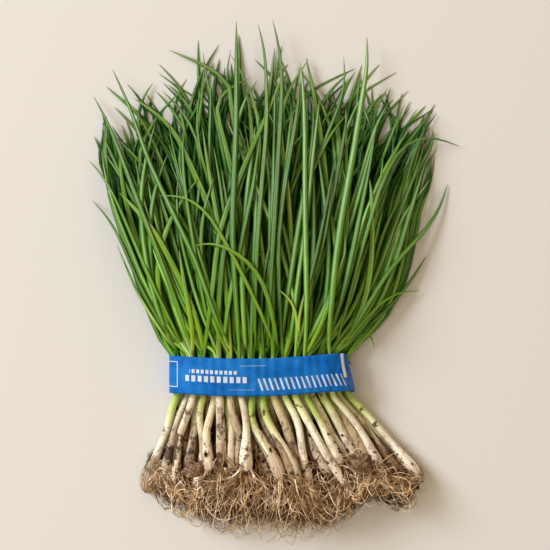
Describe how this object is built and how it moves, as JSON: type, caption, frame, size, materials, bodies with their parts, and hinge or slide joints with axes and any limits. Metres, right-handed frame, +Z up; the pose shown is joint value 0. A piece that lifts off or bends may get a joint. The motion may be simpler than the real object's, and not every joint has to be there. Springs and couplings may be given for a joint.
{
  "type": "spring onion bunch",
  "caption": "Bunch of slim spring onions with roots and soil, lying flat, its green leaves fanned out above a blue paper band.",
  "frame": {"origin": "centre of the bounding box's footprint, on the surface the bunch lies on", "axes": "+Y along the bunch from the roots to the leaf tips, +X across the bunch to the right as seen from above with the leaves away, +Z up from the surface"},
  "size_m": [0.2912, 0.41, 0.0384],
  "materials": {
    "paper_band": "satin",
    "spring_onion": "satin",
    "soil": "matte"
  },
  "bodies": {
    "root": {"paper_band": "paper_band", "spring_onion_1_01": "spring_onion", "spring_onion_1_02": "spring_onion", "spring_onion_1_03": "spring_onion", "spring_onion_1_04": "spring_onion", "spring_onion_1_05": "spring_onion", "spring_onion_1_06": "spring_onion", "spring_onion_1_07": "spring_onion", "spring_onion_1_08": "spring_onion", "spring_onion_1_09": "spring_onion", "spring_onion_1_10": "spring_onion", "spring_onion_1_11": "spring_onion", "spring_onion_1_12": "spring_onion", "spring_onion_1_13": "spring_onion", "spring_onion_1_14": "spring_onion", "spring_onion_1_15": "spring_onion", "spring_onion_1_16": "spring_onion", "spring_onion_2_01": "spring_onion", "spring_onion_2_02": "spring_onion", "spring_onion_2_03": "spring_onion", "spring_onion_2_04": "spring_onion", "spring_onion_2_05": "spring_onion", "spring_onion_2_06": "spring_onion", "spring_onion_2_07": "spring_onion", "spring_onion_2_08": "spring_onion", "spring_onion_2_09": "spring_onion", "spring_onion_2_10": "spring_onion", "spring_onion_2_11": "spring_onion", "spring_onion_2_12": "spring_onion", "spring_onion_2_13": "spring_onion", "spring_onion_2_14": "spring_onion", "spring_onion_2_15": "spring_onion", "spring_onion_2_16": "spring_onion", "spring_onion_2_17": "spring_onion", "spring_onion_3_01": "spring_onion", "spring_onion_3_02": "spring_onion", "spring_onion_3_03": "spring_onion", "spring_onion_3_04": "spring_onion", "spring_onion_3_05": "spring_onion", "spring_onion_3_06": "spring_onion", "spring_onion_3_07": "spring_onion", "spring_onion_3_08": "spring_onion", "spring_onion_3_09": "spring_onion", "spring_onion_3_10": "spring_onion", "spring_onion_3_11": "spring_onion", "spring_onion_3_12": "spring_onion", "spring_onion_3_13": "spring_onion", "spring_onion_3_14": "spring_onion", "spring_onion_4_01": "spring_onion", "spring_onion_4_02": "spring_onion", "spring_onion_4_03": "spring_onion", "spring_onion_4_04": "spring_onion", "spring_onion_4_05": "spring_onion", "spring_onion_4_06": "spring_onion", "spring_onion_4_07": "spring_onion", "spring_onion_4_08": "spring_onion", "spring_onion_4_09": "spring_onion", "soil_clod_1": "soil", "soil_clod_2": "soil"}
  },
  "joints": []
}
